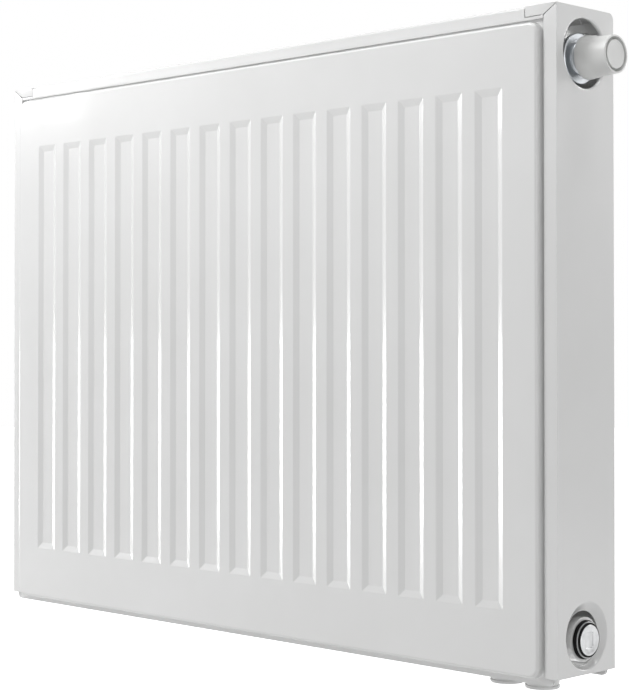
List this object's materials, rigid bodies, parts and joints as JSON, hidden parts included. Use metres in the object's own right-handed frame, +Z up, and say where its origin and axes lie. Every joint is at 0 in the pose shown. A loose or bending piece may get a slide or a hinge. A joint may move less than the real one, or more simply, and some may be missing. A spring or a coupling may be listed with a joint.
{
  "type": "panel radiator with valve",
  "caption": "White steel panel radiator with vertical flutes, side covers, top grille, a valve cap at the top right and pipe sockets underneath.",
  "frame": {"origin": "middle of the bounding box's bottom, on the plane of the socket mouths", "axes": "+X along the length towards the valve, +Y from the room to the wall, +Z up"},
  "size_m": [0.8392, 0.11, 0.6108],
  "materials": {
    "white_enamel": "gloss",
    "bare_steel": "satin",
    "nickel": "satin",
    "brass": "satin",
    "seal_rubber": "matte",
    "cap_plastic": "matte"
  },
  "bodies": {
    "radiator": {"front_sheet": "white_enamel", "front_inner_sheet": "white_enamel", "rear_inner_sheet": "white_enamel", "rear_sheet": "white_enamel", "front_convector": "white_enamel", "rear_convector": "white_enamel", "top_grille": "white_enamel", "side_cover_right": "white_enamel", "side_cover_left": "white_enamel", "upper_lug_left": "white_enamel", "upper_lug_right": "white_enamel", "lower_lug_left": "white_enamel", "lower_lug_right": "white_enamel", "upper_left_tee": "white_enamel", "lower_left_tee": "white_enamel", "return_cross": "white_enamel", "valve_housing": "white_enamel", "return_socket": "white_enamel", "supply_socket": "white_enamel", "socket_bridge": "white_enamel", "riser_pipe": "white_enamel", "plug_right": "bare_steel", "plug_left": "bare_steel", "plug_collar_right": "bare_steel", "plug_collar_left": "bare_steel", "valve_insert": "nickel", "valve_spring": "nickel", "vent_body": "nickel", "valve_seat": "brass", "gland_nut": "brass", "gland_seal": "seal_rubber", "plug_seal_right": "seal_rubber", "plug_seal_left": "seal_rubber", "plug_base_seal_right": "seal_rubber", "plug_base_seal_left": "seal_rubber", "vent_seal": "seal_rubber"},
    "cap_pusher": {"cap_pusher": "cap_plastic"},
    "valve_cap": {"valve_cap": "cap_plastic"},
    "spindle": {"valve_spindle": "nickel", "valve_disc": "seal_rubber"},
    "vent_screw": {"vent_screw": "brass"}
  },
  "joints": [
    {"name": "cap_lift", "type": "slide", "parent": "radiator", "child": "cap_pusher", "axis": [1, 0, 0], "range_m": [0, 0.002]},
    {"name": "cap_turn", "type": "hinge", "parent": "cap_pusher", "child": "valve_cap", "pos_m": [0.38635, -0.006, 0.5658], "axis": [1, 0, 0], "range_deg": [0, 480]},
    {"name": "spindle_lift", "type": "slide", "parent": "radiator", "child": "spindle", "axis": [1, 0, 0], "range_m": [0, 0.002], "deforming": ["valve_spring"]},
    {"name": "vent_turn", "type": "hinge", "parent": "radiator", "child": "vent_screw", "pos_m": [-0.41365, -0.006, 0.5658], "axis": [-1, 0, 0], "range_deg": [0, 180]}
  ],
  "couplings": [
    {"joint": "cap_lift", "follows": "cap_turn", "m_per_rad": 0.00023873},
    {"joint": "spindle_lift", "follows": "cap_turn", "m_per_rad": 0.00023873}
  ]
}
